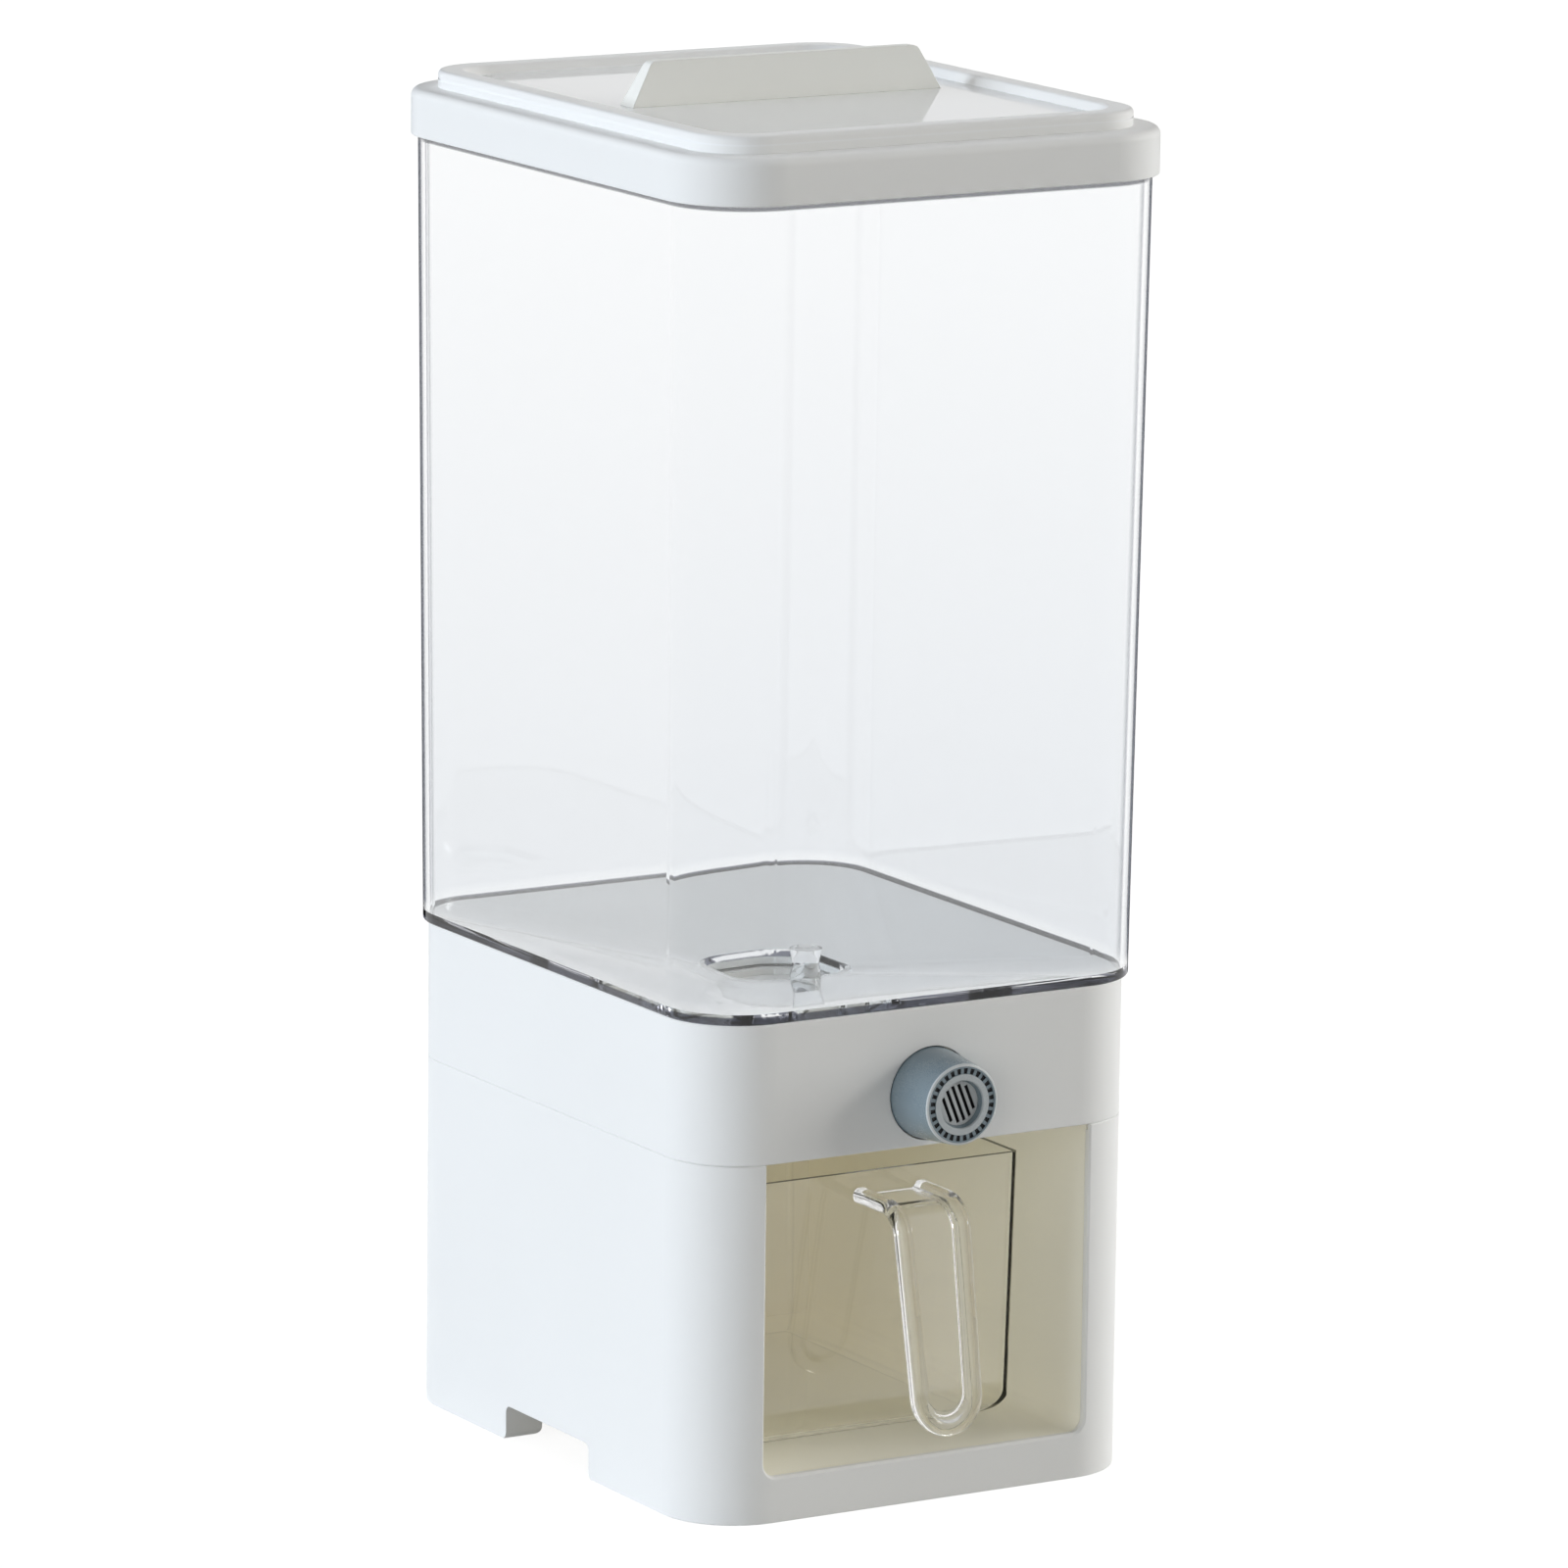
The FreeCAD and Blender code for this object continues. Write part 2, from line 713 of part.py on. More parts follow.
def button_cap():
    """A tapered barrel, hollow from behind, with side ears that stop it against the front wall."""
    along = Vector(0, 1, 0)
    barrel = Part.makeCone(
        button_face_radius, button_radius, button_proud, Vector(0, button_front, button_height), along
    )
    barrel = barrel.makeFillet(button_edge_round, edges_in_plane(barrel, "Y", button_front))
    tail = bar(0, button_height, -half_depth, button_back, button_radius)
    ears = block(
        -button_ear_width / 2,
        button_ear_width / 2,
        collar_inner_front + button_gap,
        button_back,
        button_height - button_ear_height / 2,
        button_height + button_ear_height / 2,
    )
    cavity = Part.makeCone(
        button_face_radius - button_wall,
        button_radius - button_wall,
        button_back + past - button_floor,
        Vector(0, button_floor, button_height),
        along,
    )
    whole = join([barrel, tail, ears]).cut(cavity)
    socket_end = -half_depth + button_socket_end
    socket_radius = rod_radius + button_socket_wall
    whole = join([whole, bar(0, button_height, button_floor - rod_seat, socket_end, socket_radius)])
    whole = whole.cut(bar(0, button_height, button_floor, socket_end + past, rod_radius + pilot_slack))
    groove_end = button_front + face_groove_depth
    groove = bar(0, button_height, button_front - past, groove_end, face_groove_outer)
    groove = groove.cut(bar(0, button_height, button_front - 2 * past, groove_end + past, face_groove_inner))
    insert_back = button_front + insert_sink + insert_thickness
    recess_radius = insert_radius + pilot_slack
    recess = bar(0, button_height, button_front - past, insert_back, recess_radius)
    mouth = Part.makeCone(
        recess_radius + insert_mouth_flare,
        recess_radius,
        insert_sink,
        Vector(0, button_front, button_height),
        along,
    )
    whole = whole.cut(groove).cut(recess).cut(mouth)
    return join([whole] + [face_tooth(index) for index in range(face_teeth)])


def button_insert():
    """The slotted thumb disc set into the button's face."""
    front = button_front + insert_sink
    disc = bar(0, button_height, front, front + insert_thickness, insert_radius)
    for index in range(slot_count):
        x = (index - (slot_count - 1) / 2) * slot_pitch
        reach = math.sqrt(slot_reach ** 2 - x ** 2)
        back = front + insert_thickness - slot_floor
        slot = block(x - slot_width / 2, x + slot_width / 2, front - past, back, -reach, reach)
        slot.rotate(Vector(0, 0, 0), Vector(0, 1, 0), -slot_tilt)
        slot.translate(Vector(0, 0, button_height))
        disc = disc.cut(slot)
    return disc


def push_rod():
    """From the button's socket to the slide's tab, with a thin end grooved for the clip."""
    shoulder = -gate_tab_distance - gate_tab_thickness
    end = -gate_tab_distance + rod_tail
    thick = bar(0, button_height, button_floor, shoulder, rod_radius)
    thin = bar(0, button_height, shoulder - rod_seat, end, rod_end_radius)
    groove_low = -gate_tab_distance + clip_slack / 2
    groove_high = groove_low + clip_thickness + 2 * clip_slack
    groove = bar(0, button_height, groove_low, groove_high, rod_radius)
    groove = groove.cut(bar(0, button_height, shoulder, end, rod_end_radius - clip_groove_depth))
    return join([thick, thin]).cut(groove)


def rod_clip():
    """An open ring that snaps into the rod's groove behind the slide's tab."""
    y_low = -gate_tab_distance + 1.5 * clip_slack
    y_high = y_low + clip_thickness
    inner_radius = rod_end_radius - clip_groove_depth + pilot_slack
    ring = bar(0, button_height, y_low, y_high, clip_radius)
    ring = ring.cut(bar(0, button_height, y_low - past, y_high + past, inner_radius))
    half_mouth = clip_mouth / 2
    mouth_low = button_height - 2 * clip_radius
    return ring.cut(block(-half_mouth, half_mouth, y_low, y_high, mouth_low, button_height))


def spring_bracket():
    """Carries the rod's bearing and the spring's fixed end, on two bosses of the front wall."""
    half_inner = button_ear_width / 2 + button_gap
    half_outer = half_inner + bracket_wall
    side_half = boss_radius + bracket_side_margin
    side_heights = (button_height - side_half, button_height + side_half)
    back_front = bracket_back - bracket_wall
    low = button_height - bracket_height / 2
    parts = [block(-half_outer, half_outer, back_front, bracket_back, low, low + bracket_height)]
    side_front = collar_inner_front + seat_gap
    parts.extend(both_sides(block(-half_outer, -half_inner, side_front, bracket_back, *side_heights)))
    ear_end = bracket_screw_x + boss_radius
    ear_back = bracket_seat + bracket_wall
    parts.extend(both_sides(block(-ear_end, -half_inner, bracket_seat, ear_back, *side_heights)))
    parts.append(bar(0, button_height, back_front, bracket_back + bearing_length, rod_radius + bearing_wall))
    whole = join(parts)
    bearing_end = bracket_back + bearing_length + past
    whole = whole.cut(bar(0, button_height, back_front - past, bearing_end, rod_radius + rod_fit))
    hole_radius = screw_radius + screw_slack
    for x in bracket_places:
        whole = whole.cut(bar(x, button_height, collar_inner_front, bracket_seat, boss_radius + seat_gap))
        whole = whole.cut(bar(x, button_height, bracket_seat - past, ear_back + past, hole_radius))
    return whole


def return_spring():
    """A coil spring round the rod, between the button's inside and the bracket."""
    margin = spring_wire / 2 + spring_end_gap
    low = button_floor + margin
    length = bracket_back - bracket_wall - margin - low
    helix = Part.makeHelix(length / spring_turns, length, spring_radius)
    section = Part.Wire(Part.makeCircle(spring_wire / 2, Vector(spring_radius, 0, 0), Vector(0, 1, 0)))
    coil = Part.Wire(helix.Edges).makePipeShell([section], True, True)
    coil.rotate(Vector(0, 0, 0), Vector(1, 0, 0), -90)
    coil.translate(Vector(0, low, button_height))
    return coil


# ---------------------------------------------------------------- screws
def screw(length):
    """A pan-head screw: its head below the origin, its thread up the Z axis, a cross in the head."""
    head = post(0, 0, -screw_head_height, 0, screw_head_radius)
    head = round_rim(head, screw_head_round, -screw_head_height)
    whole = join([post(0, 0, -screw_head_height / 2, length, screw_radius), head])
    half = screw_cross_width / 2
    for turn in (0, 90):
        cross_top = -screw_head_height + screw_cross_depth
        arm = block(-screw_cross_reach, screw_cross_reach, -half, half, -screw_head_height - past, cross_top)
        arm.rotate(Vector(0, 0, 0), Vector(0, 0, 1), turn)
        whole = whole.cut(arm)
    return whole


def upright_screws(places, z_low, z_high):
    pieces = []
    for x, y in places:
        piece = screw(z_high - z_low)
        piece.translate(Vector(x, y, z_low))
        pieces.append(piece)
    return Part.makeCompound(pieces)


def base_screws():
    """Up through the cabinet's tubes and the liner's flange into the collar."""
    end = seam_height + collar_boss_length - 2 * pilot_end
    return upright_screws(corner_places, flange_seat - cabinet_boss_length, end)


def gate_screws():
    return upright_screws(gate_places, cover_bottom, housing_top + gate_screw_grip)


def chute_screws():
    return upright_screws(chute_places, chute_flange_bottom, chute_screw_end)


def bracket_screws():
    pieces = []
    for x in bracket_places:
        piece = screw(bracket_boss_length + bracket_wall - pilot_end)
        piece.rotate(Vector(0, 0, 0), Vector(1, 0, 0), 90)
        piece.translate(Vector(x, bracket_seat + bracket_wall, button_height))
        pieces.append(piece)
    return Part.makeCompound(pieces)


# ---------------------------------------------------------------- hopper
def feed_post():
    """A waisted post at the outlet's front edge, which keeps the rice from bridging."""
    y = -outlet_size / 2
    half = post_height / 2
    stem = post(0, y, neck_bottom, outlet_rim, post_radius)
    stem = stem.common(slab(neck_size, neck_size, neck_radius, neck_bottom, outlet_rim))
    lower = Part.makeCone(post_radius, post_waist_radius, half, Vector(0, y, outlet_rim))
    upper = Part.makeCone(post_waist_radius, post_radius, half, Vector(0, y, outlet_rim + half))
    return [stem, lower, upper]


def hopper_tank():
    """Clear walls that flare upwards, a four-sided funnel floor, the outlet's neck and a feed post."""
    low = (tank_base_width, tank_base_depth, tank_radius, tank_bottom)
    high = (tank_top_width, tank_top_depth, tank_radius, tank_top)
    outer = round_rim(tapered(low, high), tank_edge_round, tank_bottom)
    inner_radius = tank_radius - tank_wall
    floor_edge = (tank_base_width - 2 * tank_wall, tank_base_depth - 2 * tank_wall, inner_radius, funnel_rim)
    mouth = (tank_top_width - 2 * tank_wall, tank_top_depth - 2 * tank_wall, inner_radius, tank_top)
    room = tapered(floor_edge, mouth)
    funnel = tapered((outlet_size, outlet_size, outlet_corner_radius, outlet_rim), floor_edge)
    neck = slab(neck_size, neck_size, neck_radius, neck_bottom, outlet_rim)
    outlet = slab(outlet_size, outlet_size, outlet_corner_radius, neck_bottom - past, outlet_rim + neck_tuck)
    whole = join([outer, funnel_surface(0.0), neck]).cut(room).cut(funnel).cut(outlet)
    return join([whole] + feed_post())


# ---------------------------------------------------------------- lid
def lid_slab(inset, z_low, z_high):
    """The lid's outline drawn in by an inset."""
    return slab(lid_width - 2 * inset, lid_depth - 2 * inset, lid_radius - inset, z_low, z_high)


def lid_pan(grow, floor, high):
    """The well's hollow, or its outside where a thickness is given."""
    width = lid_width - 2 * (lid_shoulder_width + lid_rim_width) + 2 * grow
    depth = lid_depth - 2 * (lid_shoulder_width + lid_rim_width) + 2 * grow
    radius = lid_well_corner + grow
    drawn_in = 2 * lid_well_draft
    return tapered((width - drawn_in, depth - drawn_in, radius, floor), (width, depth, radius, high))


def lid_cover():
    """A skirt and shoulder over the hopper's rim, a raised frame, and a shallow well inside it."""
    under = lid_shoulder - lid_shell
    skirt = lid_slab(0, lid_bottom, lid_shoulder)
    skirt = round_rim(skirt, lid_shoulder_round, lid_shoulder)
    skirt = round_rim(skirt, edge_round, lid_bottom)
    frame = lid_slab(lid_shoulder_width, under, lid_top)
    shell = join([skirt, frame]).cut(lid_slab(lid_skirt_wall, lid_bottom - past, under))
    shell = shell.cut(lid_slab(lid_shoulder_width + lid_shell, lid_bottom, lid_top - lid_shell))
    pan = lid_pan(lid_shell, lid_well_floor - lid_shell, lid_top - lid_shell / 2)
    plug = plug_slab(0, under - lid_plug_length, under)
    plug = plug.cut(plug_slab(lid_plug_wall, lid_bottom - past, lid_shoulder))
    whole = join([shell, pan, plug]).cut(lid_pan(0, lid_well_floor, lid_top))
    whole = round_rim(whole, lid_frame_round, lid_top)
    whole = whole.cut(seal_ring(0.0))
    hole_low = lid_well_floor - lid_shell - past
    return drilled(whole, peg_places, hole_low, lid_well_floor + past, grip_peg_radius + pilot_slack)


def plug_slab(inset, z_low, z_high):
    """The outline of the ring that reaches down inside the hopper, drawn in by an inset."""
    width = lid_plug_width - 2 * inset
    depth = lid_plug_depth - 2 * inset
    return slab(width, depth, lid_plug_radius - inset, z_low, z_high)


def seal_ring(shrink):
    """The lid seal's ring, from its groove in the plug out to the hopper's wall."""
    low = seal_top - seal_height
    outer = plug_slab(seal_running_gap - lid_plug_gap, low + shrink, seal_top - shrink)
    return outer.cut(plug_slab(seal_groove - shrink, low - past, seal_top + past))


def lid_seal():
    return seal_ring(pilot_slack)


def grip_outline(length, thickness, z):
    x = length / 2
    y = thickness / 2
    corners = [Vector(-x, -y, z), Vector(x, -y, z), Vector(x, y, z), Vector(-x, y, z)]
    return Part.makePolygon(corners + corners[:1])


def lid_grip():
    """A thin upright plate that narrows upwards, held in the well's floor by three pegs."""
    foot_z = lid_well_floor
    top_z = lid_well_floor + grip_height
    foot_wire = grip_outline(grip_length, grip_thickness, foot_z)
    top_wire = grip_outline(grip_top_length, grip_top_thickness, top_z)
    plate = Part.makeLoft([foot_wire, top_wire], True, True)
    top_ends = [e for e in edges_in_plane(plate, "Z", top_z) if not edges_along_x([e])]
    parts = [plate.makeFillet(grip_corner_round, top_ends)]
    for x, y in peg_places:
        parts.append(post(x, y, foot_z - grip_peg_length, foot_z + edge_round, grip_peg_radius))
    return join(parts)


# ---------------------------------------------------------------- cup
def cup_volume(inset):
    """The cup's outer form, or its hollow where an inset is given."""
    low = cup_bottom + inset
    high = cup_top + (past if inset else 0)
    side_round = cup_side_round - inset
    end_round = cup_end_round - inset
    radius = cup_edge_radius - inset
    bottom = cup_size(low, inset)
    top = cup_size(high, inset)
    body = tapered((*bottom, radius, low), (*top, radius, high))
    side_curve = low_curve(cup_size(low + side_round, inset)[0], low, high, side_round)
    end_curve = low_curve(cup_size(low + end_round, inset)[1], low, high, end_round)
    end_curve.rotate(Vector(0, 0, 0), Vector(0, 0, 1), 90)
    body = body.common(side_curve).common(end_curve)
    body.translate(Vector(0, (cup_front + cup_back) / 2, 0))
    return body


def low_curve(width, low, high, radius):
    """A round-bottomed form along Y that is open to all sides above its two lower curves."""
    far = cup_back - cup_front
    above = block(-far, far, -far, far, low + radius, high)
    return trough(width, low, high, radius, -far, far).fuse(above)


def cup_size(z, inset):
    """Width and depth of the cup at a height, drawn in by an inset."""
    drop = (cup_top - z) / (cup_top - cup_bottom)
    width = cup_width - 2 * inset - 2 * cup_side_draft * drop
    depth = cup_back - cup_front - 2 * inset - 2 * cup_end_draft * drop
    return width, depth


def measuring_cup():
    return cup_volume(0).cut(cup_volume(cup_wall))


def strap_line(depth):
    """Points of the strap's side line at a depth under its outer face: arm, bend and leaning leg."""
    lean = math.radians(handle_lean)
    down = Vector(0, -math.sin(lean), -math.cos(lean))
    inward = Vector(0, math.cos(lean), -math.sin(lean))
    turn = math.pi / 2 - lean
    tangent = handle_bend_radius * math.tan(turn / 2)
    centre = Vector(0, handle_corner + tangent, handle_top - handle_bend_radius)
    radius = handle_bend_radius - depth
    start = centre + Vector(0, 0, radius)
    middle = centre + Vector(0, -math.sin(turn / 2), math.cos(turn / 2)) * radius
    finish = centre - inward * radius
    root = Vector(0, cup_front + 2 * cup_wall, start.z)
    end = finish + down * (handle_top - sill_height)
    return root, start, middle, finish, end


def strap(depth_outer, depth_inner, inset):
    """The strap between two depths, its outline drawn in by an inset."""
    outer = strap_line(depth_outer)
    inner = strap_line(depth_inner)
    edges = [
        line(outer[0], outer[1]),
        arc(outer[1], outer[2], outer[3]),
        line(outer[3], outer[4]),
        line(outer[4], inner[4]),
        line(inner[4], inner[3]),
        arc(inner[3], inner[2], inner[1]),
        line(inner[1], inner[0]),
        line(inner[0], outer[0]),
    ]
    side_view = prism(edges, Vector(2 * handle_width, 0, 0))
    side_view.translate(Vector(-handle_width, 0, 0))
    return side_view.common(strap_outline(inset))


def strap_outline(inset):
    """The strap seen from the front, narrowing to a round lower end, as a prism along Y."""
    radius = handle_end_width / 2 - inset
    half = handle_width / 2 - inset
    centre = handle_tip + handle_end_width / 2
    rise = handle_top - centre
    flare = math.atan2(half, rise) - math.asin(radius / math.hypot(half, rise))
    high = cup_top + past
    half_high = half + (high - handle_top) * math.tan(flare)
    half_low = radius * math.cos(flare)
    low = centre - radius * math.sin(flare)
    y = handle_front - past
    edges = [
        line(Vector(-half_high, y, high), Vector(-half_low, y, low)),
        arc(Vector(-half_low, y, low), Vector(0, y, centre - radius), Vector(half_low, y, low)),
        line(Vector(half_low, y, low), Vector(half_high, y, high)),
        line(Vector(half_high, y, high), Vector(-half_high, y, high)),
    ]
    return prism(edges, Vector(0, cup_front + 2 * cup_wall - y, 0))


def rounded_strap(shape, radius):
    """The strap with all its sharp edges rounded, apart from those at its root."""
    root = [edge.hashCode() for edge in edges_in_plane(shape, "Y", cup_front + 2 * cup_wall)]
    return shape.makeFillet(radius, [e for e in sharp_edges(shape) if e.hashCode() not in root])


def cup_handle():
    """A wide strap that leaves the cup's front, bends down and ends round, with a thin web."""
    whole = rounded_strap(strap(0, handle_thickness, 0), handle_edge_round)
    web_top = strap(-past, handle_recess, handle_rim)
    web_under = strap(handle_thickness - handle_under_recess, handle_thickness + past, handle_rim)
    for hollow in (web_top, web_under):
        whole = whole.cut(rounded_strap(hollow, handle_web_round))
    return rounded_strap(whole, handle_rim_round).cut(cup_volume(0))


# ---------------------------------------------------------------- all pieces
PIECES = {
    "base_cabinet": base_cabinet,
    "bay_liner": bay_liner,
    "collar_shell": collar_shell,
    "collar_floor": collar_floor,
    "gate_housing": gate_housing,
    "gate_cover": gate_cover,
    "gate_slide": gate_slide,
    "outlet_seal": outlet_seal,
    "outlet_chute": outlet_chute,
    "button_cap": button_cap,
    "button_insert": button_insert,
    "push_rod": push_rod,
    "rod_clip": rod_clip,
    "spring_bracket": spring_bracket,
    "return_spring": return_spring,
    "base_screws": base_screws,
    "gate_screws": gate_screws,
    "chute_screws": chute_screws,
    "bracket_screws": bracket_screws,
    "hopper_tank": hopper_tank,
    "lid_cover": lid_cover,
    "lid_seal": lid_seal,
    "lid_grip": lid_grip,
    "measuring_cup": measuring_cup,
    "cup_handle": cup_handle,
}


def main():
    os.makedirs("parts", exist_ok=True)
    for name, build in PIECES.items():
        save(name, build())


main()
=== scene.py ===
import math

import bmesh
import bpy
from mathutils import Matrix, Vector


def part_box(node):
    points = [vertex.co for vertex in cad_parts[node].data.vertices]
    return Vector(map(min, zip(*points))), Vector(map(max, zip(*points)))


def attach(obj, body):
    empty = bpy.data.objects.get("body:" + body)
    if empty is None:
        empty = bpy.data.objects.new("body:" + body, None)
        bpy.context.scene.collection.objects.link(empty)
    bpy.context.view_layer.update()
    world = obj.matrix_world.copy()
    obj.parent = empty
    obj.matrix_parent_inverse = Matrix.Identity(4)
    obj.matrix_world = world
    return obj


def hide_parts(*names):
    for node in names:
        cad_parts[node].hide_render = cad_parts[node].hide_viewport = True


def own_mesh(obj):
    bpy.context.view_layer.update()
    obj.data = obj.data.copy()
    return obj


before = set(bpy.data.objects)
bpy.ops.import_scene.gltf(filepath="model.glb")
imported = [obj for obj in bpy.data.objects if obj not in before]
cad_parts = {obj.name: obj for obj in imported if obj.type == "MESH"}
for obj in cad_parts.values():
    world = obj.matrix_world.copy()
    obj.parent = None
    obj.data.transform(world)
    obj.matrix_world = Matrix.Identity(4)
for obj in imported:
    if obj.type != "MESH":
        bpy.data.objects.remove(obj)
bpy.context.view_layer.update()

scene = bpy.context.scene

# All lengths are in metres and all places are in the frame's own space.
VIEW_YAW = math.radians(30.857)     # how far round from the front, to the left, the camera stands
SHIFT_Y = 0.0069                    # how far the cabinet's middle lies behind the frame's

# Places that a material marks with a colour or a gloss of its own, or with painted shade, shadow
# or light. A pair is where the place begins and ends, or where one colour turns into the other.
LID_WELL = 0.4694                   # height of the glossy floor of the lid's well
LEVEL_REACH = 0.0003                # how near to such a height a face has to be
TANK_CORE = (0.0625, 0.08125, 9.0)  # half sizes of an upright box inside the hopper
TANK_WALL = (0.0240, 0.0245)        # distance from that box at which the hopper's outer wall begins
FOOT_SHADE_TOP = (0.1762, 0.1768)         # height of the painted dark band at the hopper's foot
FUNNEL_TOP = (0.1775, 0.1810)       # height of the clearer funnel
LID_SHADOW_BAND = (0.4484, 0.4499)         # height of the painted shadow line under the lid
BAY_SHADE_DEPTH = (-0.04, 0.06)           # y at which the bay's colour turns to painted shade, warmer and darker
GLOW_DEPTH = (-0.03, 0.09)          # y at which the bay's painted glow grows
BUTTON_FACE = (0.0, -0.11985, 0.1429)
CAP_FRONT = (-0.0002, 0.0007)       # depths behind the button's face ...
GROOVE_DEPTH = (0.0004, 0.0016)
SLOT_DEPTH = (0.0028, 0.0056)
RING_RADIUS = (0.0070, 0.0105)      # ... and distances from its axis
GROOVE_RADIUS = (0.0104, 0.0128)
# where the cap's front edge gets its painted highlight
HIGHLIGHT_RADIUS = (0.0132, 0.0144)

# Colours of those places, most of them painted shade, shadow or light.
CLEAR_FUNNEL = (0.955, 0.965, 0.97)
# painted shade: the dark gap under the hopper, seen through its foot
PAINTED_FOOT_SHADE = (0.03, 0.033, 0.05)
# painted shadow under the lid's skirt
PAINTED_LID_SHADOW = (0.24, 0.245, 0.26)
# painted shade at the back of the bay
PAINTED_BAY_SHADE = (0.88, 0.83, 0.68)
# painted light on the glossy floor of the lid's well
PAINTED_WELL_LIGHT = (0.92, 0.93, 0.935)
# painted highlight on the cap's front edge
PAINTED_EDGE_HIGHLIGHT = (0.58, 0.61, 0.62)
BRIGHT_RING = (0.46, 0.50, 0.52)
# painted shade in the cap's groove
PAINTED_GROOVE_SHADE = (0.02, 0.022, 0.025)
# painted shade in the disc's slots
PAINTED_SLOT_SHADE = (0.012, 0.013, 0.015)


# ---------------------------------------------------------------- the view
def aim_camera():
    """The photograph's own view: a long lens from the front left, a little above.

    The numbers come from a camera solved on the object's own straight edges. off_x and off_y say
    where the point under the cabinet's middle shows, in pixels from the middle of the picture.
    """
    focal_px, image_px, sensor_mm = 10112.703, 1600.0, 36.0
    pitch, roll = math.radians(11.488), math.radians(-0.708)
    off_x, off_y, depth = -18.643, 657.092, 3.471682
    ahead = math.cos(pitch)
    look = Vector((math.sin(VIEW_YAW) * ahead, math.cos(VIEW_YAW) * ahead, -math.sin(pitch)))
    level = Vector((math.cos(VIEW_YAW), -math.sin(VIEW_YAW), 0.0))
    down = look.cross(level)
    right = level * math.cos(roll) + down * math.sin(roll)
    lower = down * math.cos(roll) - level * math.sin(roll)
    across, below = off_x * depth / focal_px, off_y * depth / focal_px
    place = -(look * depth + right * across + lower * below)
    place.y += SHIFT_Y
    lens = bpy.data.cameras.new("photo_lens")
    lens.sensor_width = sensor_mm
    lens.sensor_fit = "HORIZONTAL"
    lens.lens = focal_px / image_px * sensor_mm
    lens.clip_start, lens.clip_end = 0.1, 60.0
    camera = bpy.data.objects.new("photo_camera", lens)
    turn = Matrix((right, -lower, -look)).transposed()
    camera.matrix_world = Matrix.Translation(place) @ turn.to_4x4()
    scene.collection.objects.link(camera)
    scene.camera = camera


# ---------------------------------------------------------------- node helpers
def new_material(name):
    mat = bpy.data.materials.new(name)
    mat.use_nodes = True
    tree = mat.node_tree
    tree.nodes.clear()
    return mat, tree


def add(tree, kind, **values):
    node = tree.nodes.new(kind)
    for key, value in values.items():
        setattr(node, key, value)
    return node


def show(tree, surface, kind="ShaderNodeOutputMaterial"):
    """Ends a tree with its output."""
    tree.links.new(surface, add(tree, kind).inputs["Surface"])


def mixed_shader(tree, share, first, second):
    node = add(tree, "ShaderNodeMixShader")
    for place, source in enumerate((share, first, second)):
        tree.links.new(source, node.inputs[place])
    return node.outputs[0]


def maths(tree, operation, *sources):
    """A Math node whose sources are sockets or plain numbers."""
    node = add(tree, "ShaderNodeMath", operation=operation)
    for place, source in enumerate(sources):
        if isinstance(source, float):
            node.inputs[place].default_value = source
        else:
            tree.links.new(source, node.inputs[place])
    return node.outputs[0]


def product(tree, first, second):
    return maths(tree, "MULTIPLY", first, second)


def vector_step(tree, operation, source, value=(0.0, 0.0, 0.0)):
    node = add(tree, "ShaderNodeVectorMath", operation=operation)
    tree.links.new(source, node.inputs[0])
    node.inputs[1].default_value = value
    return node


def object_space(tree):
    return add(tree, "ShaderNodeTexCoord").outputs["Object"]


def along(tree, where, axis):
    """One coordinate of a vector."""
    node = add(tree, "ShaderNodeSeparateXYZ")
    tree.links.new(where, node.inputs[0])
    return node.outputs[axis]


def noise(tree, where, scale, detail=3.0, rough=0.5):
    node = add(tree, "ShaderNodeTexNoise")
    node.inputs["Scale"].default_value = scale
    node.inputs["Detail"].default_value = detail
    node.inputs["Roughness"].default_value = rough
    tree.links.new(where, node.inputs["Vector"])
    return node.outputs["Fac"]


def spread(tree, source, low, high, start=0.3, stop=0.7):
    """Low at the source's start and high at its stop. The usual start and stop suit noise."""
    node = add(tree, "ShaderNodeMapRange")
    node.inputs["From Min"].default_value = start
    node.inputs["From Max"].default_value = stop
    node.inputs["To Min"].default_value = low
    node.inputs["To Max"].default_value = high
    tree.links.new(source, node.inputs["Value"])
    return node.outputs["Result"]


def within(tree, source, low, high, blur=0.00005):
    """1 where the source lies between two values, with a narrow blend at each."""
    rise = spread(tree, source, 0.0, 1.0, low - blur, low + blur)
    return product(tree, rise, spread(tree, source, 1.0, 0.0, high - blur, high + blur))


def at_level(tree, where, height):
    """1 near a height, 0 elsewhere."""
    return maths(tree, "COMPARE", along(tree, where, "Z"), height, LEVEL_REACH)


def upright(tree):
    """1 on faces that stand, 0 on faces that lie or slope."""
    facing = add(tree, "ShaderNodeTexCoord").outputs["Normal"]
    tilt = maths(tree, "ABSOLUTE", along(tree, facing, "Z"))
    return spread(tree, tilt, 1.0, 0.0, start=0.4, stop=0.7)


def blend_value(tree, share, first, second):
    node = add(tree, "ShaderNodeMix", data_type="FLOAT")
    tree.links.new(share, node.inputs[0])
    tree.links.new(first, node.inputs[2])
    node.inputs[3].default_value = second
    return node.outputs[0]


def blend_colour(tree, share, first, second):
    node = add(tree, "ShaderNodeMix", data_type="RGBA")
    for place, value in ((6, first), (7, second)):
        if isinstance(value, tuple):
            node.inputs[place].default_value = (*value, 1.0)
        else:
            tree.links.new(value, node.inputs[place])
    tree.links.new(share, node.inputs[0])
    return node.outputs[2]


